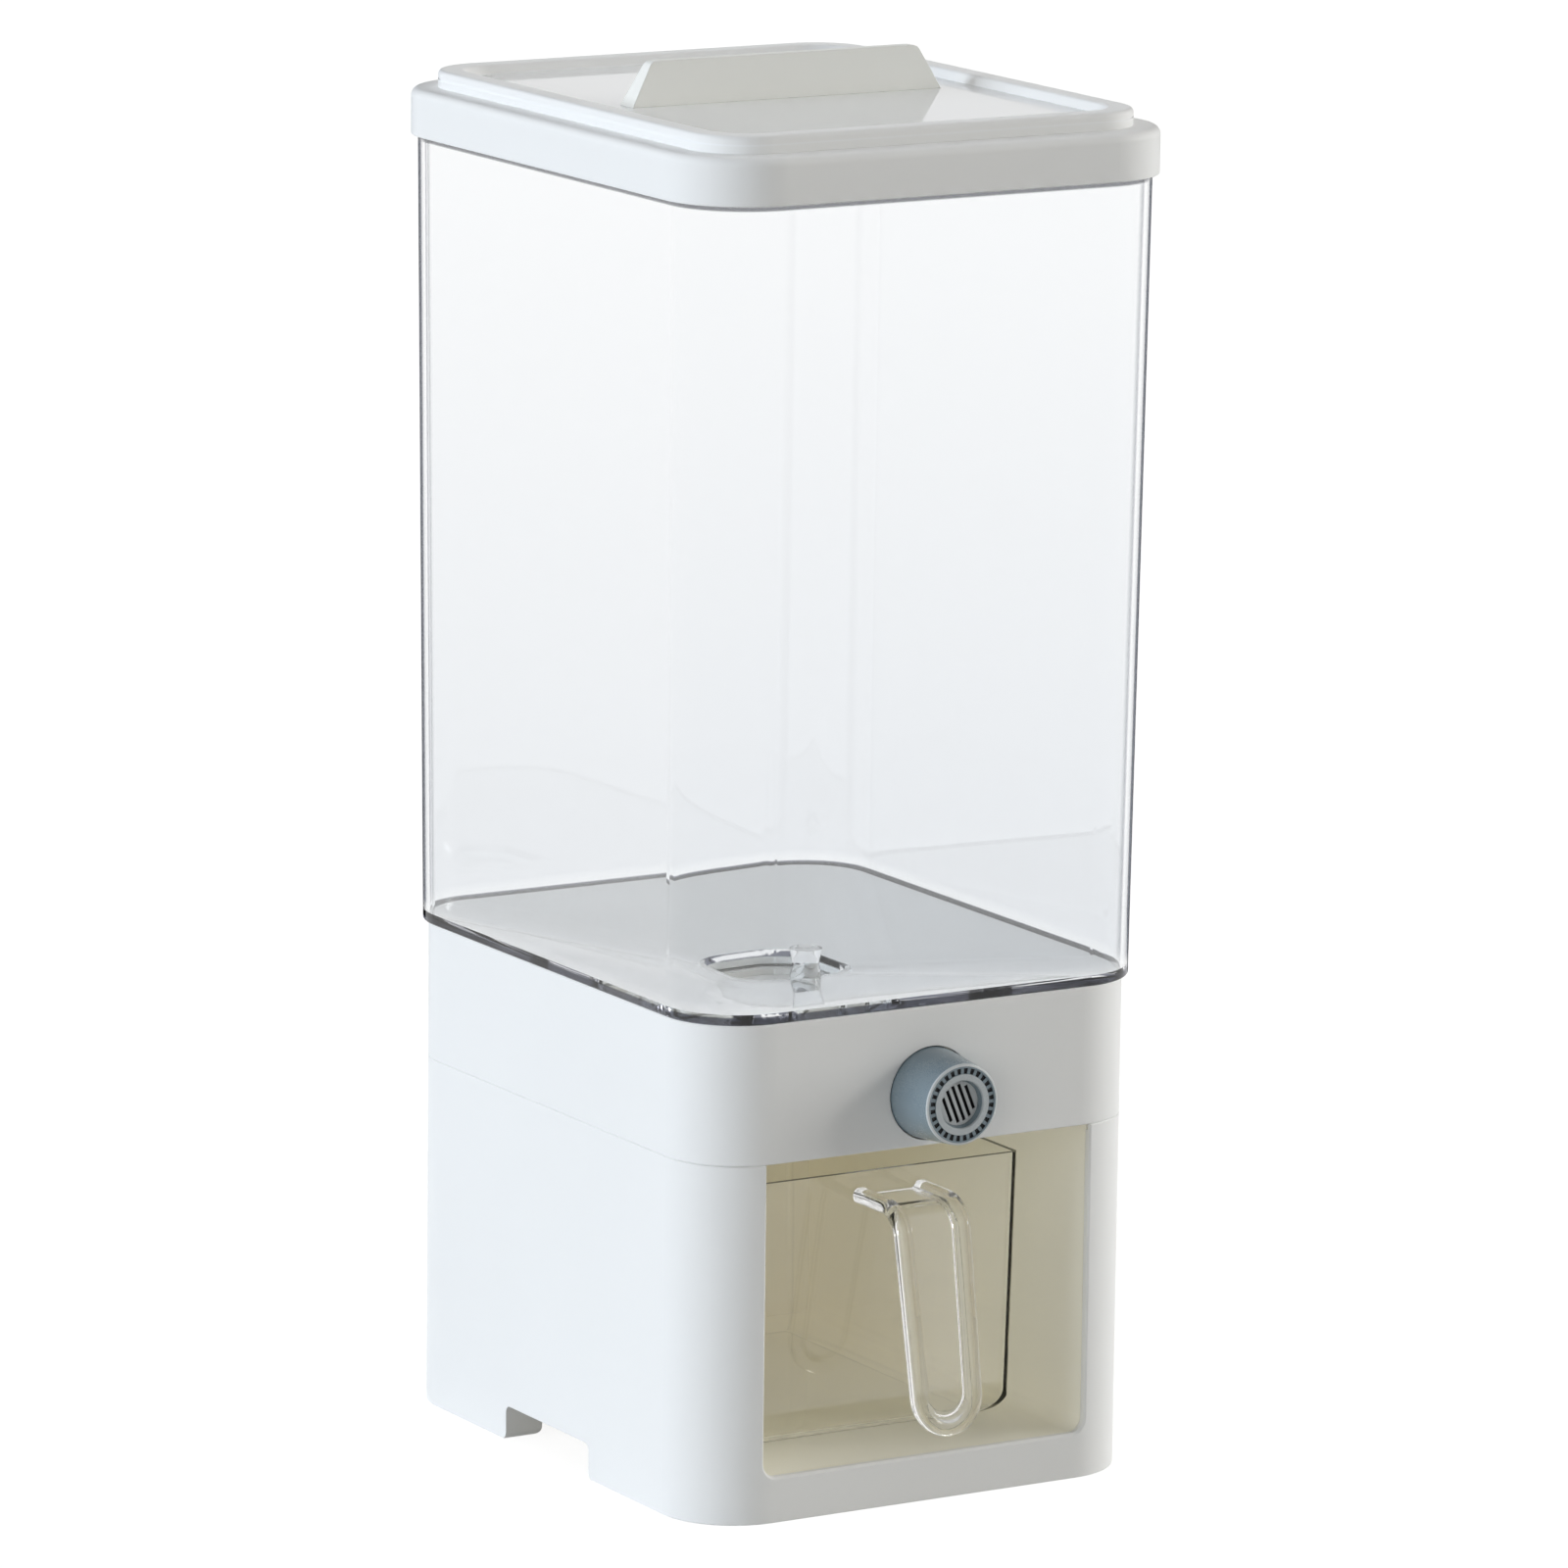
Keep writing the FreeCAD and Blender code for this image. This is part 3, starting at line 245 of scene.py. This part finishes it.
def bump(tree, height, depth, normal=None):
    node = add(tree, "ShaderNodeBump")
    node.inputs["Distance"].default_value = depth
    node.inputs["Strength"].default_value = 1.0
    tree.links.new(height, node.inputs["Height"])
    if normal is not None:
        tree.links.new(normal, node.inputs["Normal"])
    return node.outputs["Normal"]


def soft_edge(tree, radius):
    node = add(tree, "ShaderNodeBevel", samples=6)
    node.inputs["Radius"].default_value = radius
    return node.outputs["Normal"]


def seen_rays(tree):
    """1 on rays from the eye, by reflection or through clear walls too, 0 on rays of light."""
    path = add(tree, "ShaderNodeLightPath").outputs
    straight = maths(tree, "MAXIMUM", path["Is Camera Ray"], path["Is Glossy Ray"])
    return maths(tree, "MAXIMUM", straight, path["Is Transmission Ray"])


# ---------------------------------------------------------------- marked places
def outer_wall(tree, where):
    """1 in the hopper's outer wall and 0 inside it, by the distance from a smaller upright box."""
    centred = vector_step(tree, "SUBTRACT", where, (0.0, SHIFT_Y, 0.0)).outputs[0]
    size = vector_step(tree, "ABSOLUTE", centred).outputs[0]
    beyond = vector_step(tree, "SUBTRACT", size, TANK_CORE).outputs[0]
    outside = vector_step(tree, "MAXIMUM", beyond).outputs[0]
    away = vector_step(tree, "LENGTH", outside).outputs["Value"]
    return spread(tree, away, 0.0, 1.0, *TANK_WALL)


def tank_tint_and_shade(tree, where):
    """Funnel clearer than the walls; painted shade on the foot, a painted shadow under the lid."""
    height = along(tree, where, "Z")
    foot_shade = product(tree, spread(tree, height, 1.0, 0.0, *FOOT_SHADE_TOP), outer_wall(tree, where))
    return [
        (spread(tree, height, 1.0, 0.0, *FUNNEL_TOP), CLEAR_FUNNEL),
        (foot_shade, PAINTED_FOOT_SHADE),
        (within(tree, height, *LID_SHADOW_BAND, blur=0.0002), PAINTED_LID_SHADOW),
    ]


def round_the_button(tree, where):
    """How far a point is behind the button's face, and from the button's axis."""
    from_face = vector_step(tree, "SUBTRACT", where, BUTTON_FACE).outputs[0]
    flat = vector_step(tree, "MULTIPLY", from_face, (1.0, 0.0, 1.0)).outputs[0]
    return along(tree, from_face, "Y"), vector_step(tree, "LENGTH", flat).outputs["Value"]


def cap_shade_and_highlight(tree, where):
    """Painted shade in the groove, a painted highlight on the front edge, a lighter ring within."""
    depth, radius = round_the_button(tree, where)
    front = within(tree, depth, *CAP_FRONT)
    # painted shade on the groove's floor
    groove_shade = product(tree, within(tree, depth, *GROOVE_DEPTH), within(tree, radius, *GROOVE_RADIUS))
    edge = product(tree, front, within(tree, radius, *HIGHLIGHT_RADIUS))
    ring = product(tree, front, within(tree, radius, *RING_RADIUS))
    return [(edge, PAINTED_EDGE_HIGHLIGHT), (ring, BRIGHT_RING), (groove_shade, PAINTED_GROOVE_SHADE)]


def disc_painted_shade(tree, where):
    """Painted shade inside the disc's slots."""
    depth, _ = round_the_button(tree, where)
    return [(within(tree, depth, *SLOT_DEPTH), PAINTED_SLOT_SHADE)]


def bay_painted_shade(tree, where):
    """Painted shade: the back of the bay is coloured a little warmer and darker than its front."""
    return [(spread(tree, along(tree, where, "Y"), 0.0, 1.0, *BAY_SHADE_DEPTH), PAINTED_BAY_SHADE)]


def lid_painted_light(tree, where):
    """Painted light: the glossy floor of the lid's well is coloured a little whiter."""
    return [(at_level(tree, where, LID_WELL), PAINTED_WELL_LIGHT)]


def marked(tree, where, body, marks):
    """The body's colour with the marks' colours laid over it, each at its own place."""
    if marks is not None:
        for share, colour in marks(tree, where):
            body = blend_colour(tree, share, body, colour)
    return body


# ---------------------------------------------------------------- materials
def moulded(name, colour, deeper, rough, edge=0.0004, polished=None, marks=None, glow=None):
    """Satin moulded plastic: spark-eroded grain, slow sheen changes, a little shade in its colour.

    edge is the radius that catches light along the edges, polished the height of a level face
    that is left glossy, marks gives places with a colour of their own or with painted shade or
    light, and glow is painted light: a faint emission that stands in for the light that comes
    through thin walls, at the front and at the back.
    """
    grain_depth, gloss, broad_change, fine_change = 0.000007, 0.06, 0.035, 0.02
    mat, tree = new_material(name)
    shader = add(tree, "ShaderNodeBsdfPrincipled")
    at = object_space(tree)
    cloud = noise(tree, at, scale=9.0, detail=2.0)
    fine = noise(tree, at, scale=2600.0, detail=2.0, rough=0.6)
    patch = noise(tree, at, scale=45.0, detail=4.0)
    body = blend_colour(tree, spread(tree, cloud, 0.0, 1.0), colour, deeper)
    tree.links.new(marked(tree, at, body, marks), shader.inputs["Base Color"])
    broad = spread(tree, patch, rough - broad_change, rough + broad_change)
    sheen = maths(tree, "ADD", broad, spread(tree, fine, -fine_change, fine_change))
    if polished is not None:
        share = at_level(tree, at, polished)
        sheen = blend_value(tree, share, sheen, gloss)
        fine = product(tree, fine, spread(tree, share, 1.0, 0.0, 0.0, 1.0))
    tree.links.new(sheen, shader.inputs["Roughness"])
    tree.links.new(bump(tree, fine, grain_depth, soft_edge(tree, edge)), shader.inputs["Normal"])
    if glow is not None:
        # Painted light: the part glows faintly, though it is no lamp.
        shader.inputs["Emission Color"].default_value = (*colour, 1.0)
        strength = spread(tree, along(tree, at, "Y"), *glow, *GLOW_DEPTH)
        tree.links.new(strength, shader.inputs["Emission Strength"])
    shader.inputs["Specular IOR Level"].default_value = 0.5
    show(tree, shader.outputs[0])
    return mat


def clear(name, tint, lower_tint, rim, wave, rim_span, low=0.0, high=1.0, marks=None):
    """Clear moulded plastic: slightly wavy faces, a partly painted darker rim where seen edge on.

    The tint runs from lower_tint at the height low to tint at the height high. rim_span says how
    far a face has to turn away for the rim's colour, and wave is the depth of the waves. Lamps
    shine through.
    """
    smoothest, roughest, acrylic_ior, passed = 0.006, 0.0216, 1.49, (0.985, 0.988, 0.988, 1.0)
    mat, tree = new_material(name)
    shader = add(tree, "ShaderNodeBsdfPrincipled")
    at = object_space(tree)
    slow = noise(tree, at, scale=22.0, detail=1.0)
    fine = noise(tree, at, scale=900.0)
    height = spread(tree, along(tree, at, "Z"), 0.0, 1.0, low, high)
    body = blend_colour(tree, height, lower_tint, tint)
    # Partly painted shade: faces seen edge on turn to the rim colour, for the longer path through
    # the wall and for dark surroundings seen in it.
    facing = add(tree, "ShaderNodeLayerWeight")
    facing.inputs["Blend"].default_value = 0.5
    edge = spread(tree, facing.outputs["Facing"], 0.0, 1.0, *rim_span)
    body = blend_colour(tree, product(tree, edge, upright(tree)), body, rim)
    tree.links.new(marked(tree, at, body, marks), shader.inputs["Base Color"])
    tree.links.new(spread(tree, fine, smoothest, roughest), shader.inputs["Roughness"])
    tree.links.new(bump(tree, slow, wave), shader.inputs["Normal"])
    shader.inputs["IOR"].default_value = acrylic_ior
    shader.inputs["Transmission Weight"].default_value = 1.0
    open_side = add(tree, "ShaderNodeBsdfTransparent")
    open_side.inputs["Color"].default_value = passed
    path = add(tree, "ShaderNodeLightPath").outputs
    light_rays = maths(tree, "MAXIMUM", path["Is Shadow Ray"], path["Is Diffuse Ray"])
    show(tree, mixed_shader(tree, light_rays, shader.outputs[0], open_side.outputs[0]))
    return mat


def metal(name, colour, rough):
    """Zinc-plated steel: fine drawn streaks and small bright and dull patches."""
    dulled, change, grain_depth = 0.86, 0.06, 0.00001
    mat, tree = new_material(name)
    shader = add(tree, "ShaderNodeBsdfPrincipled")
    at = object_space(tree)
    fine = noise(tree, at, scale=1400.0)
    patch = noise(tree, at, scale=160.0, detail=2.0)
    darker = tuple(part * dulled for part in colour)
    body = blend_colour(tree, spread(tree, patch, 0.0, 1.0), colour, darker)
    tree.links.new(body, shader.inputs["Base Color"])
    tree.links.new(spread(tree, fine, rough - change, rough + change), shader.inputs["Roughness"])
    tree.links.new(bump(tree, fine, grain_depth), shader.inputs["Normal"])
    shader.inputs["Metallic"].default_value = 1.0
    show(tree, shader.outputs[0])
    return mat


WHITE = moulded("white_satin", (0.86, 0.865, 0.86), (0.845, 0.85, 0.845), 0.42)
LID = moulded(
    "lid_white", (0.86, 0.865, 0.86), (0.845, 0.85, 0.845), 0.42,
    polished=LID_WELL, marks=lid_painted_light,
)
GRIP = moulded("warm_white_satin", (0.86, 0.865, 0.83), (0.84, 0.845, 0.81), 0.45)
# Painted shade deeper in the bay, and a painted glow, though the liner is no lamp.
CREAM = moulded(
    "cream_satin", (0.90, 0.88, 0.79), (0.885, 0.865, 0.775), 0.5,
    marks=bay_painted_shade, glow=(0.054, 0.070),
)
INNER = moulded("inner_white", (0.88, 0.88, 0.87), (0.86, 0.86, 0.85), 0.5)
GREY = moulded(
    "grey_satin", (0.20, 0.255, 0.29), (0.185, 0.24, 0.275), 0.26, edge=0.0003, marks=cap_shade_and_highlight,
)
DISC = moulded(
    "grey_disc", (0.50, 0.53, 0.54), (0.47, 0.50, 0.51), 0.36, edge=0.0002, marks=disc_painted_shade,
)
SILICONE = moulded("silicone", (0.76, 0.76, 0.74), (0.72, 0.72, 0.70), 0.6, edge=0.0003)
TANK = clear(
    "clear_tank", (0.945, 0.95, 0.955), (0.862, 0.877, 0.895), rim=(0.10, 0.11, 0.14),
    wave=0.00003, rim_span=(0.62, 0.78), low=0.17, high=0.45, marks=tank_tint_and_shade,
)
CUP = clear(
    "clear_cup", (0.975, 0.97, 0.945), (0.975, 0.97, 0.945), rim=(0.16, 0.15, 0.13),
    wave=0.00001, rim_span=(0.82, 0.97),
)
HANDLE = clear(
    "clear_handle", (0.985, 0.985, 0.98), (0.985, 0.985, 0.98), rim=(0.36, 0.36, 0.36),
    wave=0.00001, rim_span=(0.75, 0.96),
)
STEEL = metal("zinc_steel", (0.62, 0.63, 0.65), 0.28)

FINISH = {
    "base_cabinet": WHITE, "collar_shell": WHITE, "lid_cover": LID, "lid_grip": GRIP,
    "bay_liner": CREAM, "collar_floor": CREAM,
    "gate_housing": INNER, "gate_cover": INNER, "gate_slide": INNER, "outlet_chute": INNER,
    "spring_bracket": INNER, "push_rod": INNER,
    "button_cap": GREY, "button_insert": DISC,
    "outlet_seal": SILICONE, "lid_seal": SILICONE,
    "hopper_tank": TANK, "measuring_cup": CUP, "cup_handle": HANDLE,
    "rod_clip": STEEL, "return_spring": STEEL, "base_screws": STEEL, "gate_screws": STEEL,
    "chute_screws": STEEL, "bracket_screws": STEEL,
}
for node, mat in FINISH.items():
    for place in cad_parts[node].material_slots:
        place.material = mat


# ---------------------------------------------------------------- the return spring's coil
def place_mesh(name, mesh, mat):
    """Turns a finished bmesh into an object of the scene."""
    data = bpy.data.meshes.new(name)
    mesh.to_mesh(data)
    mesh.free()
    data.materials.append(mat)
    thing = bpy.data.objects.new(name, data)
    scene.collection.objects.link(thing)
    return thing


def wind_spring():
    """The return spring as a coil in place of the solid, which can't shorten with the button."""
    low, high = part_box("return_spring")
    turns, wire, steps, sides = 8, 0.0006, 36, 10
    radius = (high[0] - low[0]) / 2 - wire
    middle_x, middle_z = (low[0] + high[0]) / 2, (low[2] + high[2]) / 2
    start, length = low[1] + wire, high[1] - low[1] - 2 * wire
    forward = Vector((0.0, 1.0, 0.0))
    mesh = bmesh.new()
    rings = []
    for i in range(turns * steps + 1):
        turn = 2 * math.pi * i / steps
        outward = Vector((math.cos(turn), 0.0, -math.sin(turn)))
        along_axis = start + length * i / (turns * steps)
        centre = Vector((middle_x, along_axis, middle_z)) + outward * radius
        rings.append([
            mesh.verts.new(centre + (outward * math.cos(a) + forward * math.sin(a)) * wire)
            for a in (2 * math.pi * k / sides for k in range(sides))
        ])
    for one, two in zip(rings, rings[1:]):
        for k in range(sides):
            mesh.faces.new((one[k], one[(k + 1) % sides], two[(k + 1) % sides], two[k]))
    mesh.faces.new(rings[0][::-1])
    mesh.faces.new(rings[-1])
    bmesh.ops.recalc_face_normals(mesh, faces=mesh.faces)
    for face in mesh.faces:
        face.smooth = len(face.verts) == 4
    coil = place_mesh("return_spring_coil", mesh, STEEL)
    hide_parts("return_spring")
    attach(coil, "button")
    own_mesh(coil)


# ---------------------------------------------------------------- floor, cards, lamps and world
def lay_floor():
    """A plain pale floor that shows white to the eye and keeps a soft shadow."""
    half, parts, glow_strength, glow_part = 9.0, 24, 1.5, 0.6
    mesh = bmesh.new()
    bmesh.ops.create_grid(mesh, x_segments=parts, y_segments=parts, size=half)
    mat, tree = new_material("pale_floor")
    matt = add(tree, "ShaderNodeBsdfPrincipled")
    at = object_space(tree)
    cloud = spread(tree, noise(tree, at, scale=3.0), 0.0, 1.0)
    body = blend_colour(tree, cloud, (0.62, 0.62, 0.61), (0.61, 0.61, 0.60))
    tree.links.new(body, matt.inputs["Base Color"])
    tree.links.new(spread(tree, noise(tree, at, scale=300.0), 0.75, 0.85), matt.inputs["Roughness"])
    matt.inputs["Specular IOR Level"].default_value = 0.2
    glow = add(tree, "ShaderNodeEmission")
    glow.inputs["Strength"].default_value = glow_strength
    glow_share = maths(tree, "MULTIPLY", seen_rays(tree), glow_part)
    show(tree, mixed_shader(tree, glow_share, matt.outputs[0], glow.outputs[0]))
    floor = place_mesh("studio_floor", mesh, mat)


def stand_dark_cards():
    """Two dark cards behind the object, seen only as the dark edges they draw in clear walls."""
    distance, near, far, tall = 0.7, 0.17, 0.60, 0.9
    mat, tree = new_material("dark_card")
    matt = add(tree, "ShaderNodeBsdfPrincipled")
    cloth = noise(tree, object_space(tree), scale=60.0)
    body = blend_colour(tree, cloth, (0.02, 0.02, 0.024), (0.03, 0.03, 0.034))
    tree.links.new(body, matt.inputs["Base Color"])
    matt.inputs["Roughness"].default_value = 0.9
    matt.inputs["Specular IOR Level"].default_value = 0.0
    show(tree, matt.outputs[0])
    behind = Vector((math.sin(VIEW_YAW), math.cos(VIEW_YAW), 0.0)) * distance
    sideways = Vector((math.cos(VIEW_YAW), -math.sin(VIEW_YAW), 0.0))
    up = Vector((0.0, 0.0, tall))
    for name, side in (("dark_card_right", 1.0), ("dark_card_left", -1.0)):
        mesh = bmesh.new()
        low = [mesh.verts.new(behind + sideways * (side * x)) for x in (near, far)]
        high = [mesh.verts.new(behind + sideways * (side * x) + up) for x in (far, near)]
        mesh.faces.new(low + high)
        card = place_mesh(name, mesh, mat)
        card.visible_camera = False
        card.visible_diffuse = False
        card.visible_transmission = False
        card.visible_shadow = False


def far_lamp(name, side, up, level, spread_angle, colour, shows=False):
    """A big soft lamp far away, side degrees round from the front towards +X and up degrees high.

    A lamp that doesn't show lights the object but is not seen in gloss or through clear walls.
    """
    distance = 2.0
    lamp = bpy.data.lights.new(name, "SUN")
    lamp.energy = level * math.pi
    lamp.angle = math.radians(spread_angle)
    lamp.color = colour
    lamp_object = bpy.data.objects.new(name, lamp)
    a, e = math.radians(side), math.radians(up)
    towards = Vector((math.sin(a) * math.cos(e), -math.cos(a) * math.cos(e), math.sin(e)))
    lamp_object.rotation_euler = (-towards).to_track_quat("-Z", "Y").to_euler()
    lamp_object.location = towards * distance
    lamp_object.visible_glossy = shows
    lamp_object.visible_transmission = shows
    scene.collection.objects.link(lamp_object)


def background(tree, colour, strength):
    node = add(tree, "ShaderNodeBackground")
    node.inputs["Color"].default_value = colour
    node.inputs["Strength"].default_value = strength
    return node.outputs[0]


def light_world():
    """A faint even light on the object, and plain white wherever the world itself is seen."""
    world = bpy.data.worlds.new("studio")
    scene.world = world
    world.use_nodes = True
    tree = world.node_tree
    tree.nodes.clear()
    room = background(tree, (1.0, 0.99, 0.97, 1.0), 0.07)
    white = background(tree, (1.0, 1.0, 1.0, 1.0), 1.0)
    show(tree, mixed_shader(tree, seen_rays(tree), room, white), kind="ShaderNodeOutputWorld")


aim_camera()
wind_spring()
lay_floor()
light_world()
stand_dark_cards()
far_lamp("left_lamp", -96.0, 10.0, 0.63, 26.0, (0.90, 0.985, 1.09))
far_lamp("front_left_lamp", -46.0, 14.0, 0.18, 30.0, (1.0, 0.98, 0.93))
far_lamp("front_right_lamp", 54.0, 20.0, 0.15, 12.0, (1.0, 0.98, 0.93), shows=True)
far_lamp("right_lamp", 80.0, 14.0, 0.71, 36.0, (1.0, 0.995, 0.98))
far_lamp("back_left_lamp", -150.0, 42.0, 0.25, 60.0, (0.98, 0.99, 1.01))

scene.view_settings.view_transform = "Standard"
scene.cycles.max_bounces = 24
scene.cycles.transmission_bounces = 24
scene.cycles.transparent_max_bounces = 24
scene.cycles.glossy_bounces = 8
scene.cycles.diffuse_bounces = 6
scene.cycles.caustics_refractive = False
scene.cycles.caustics_reflective = False
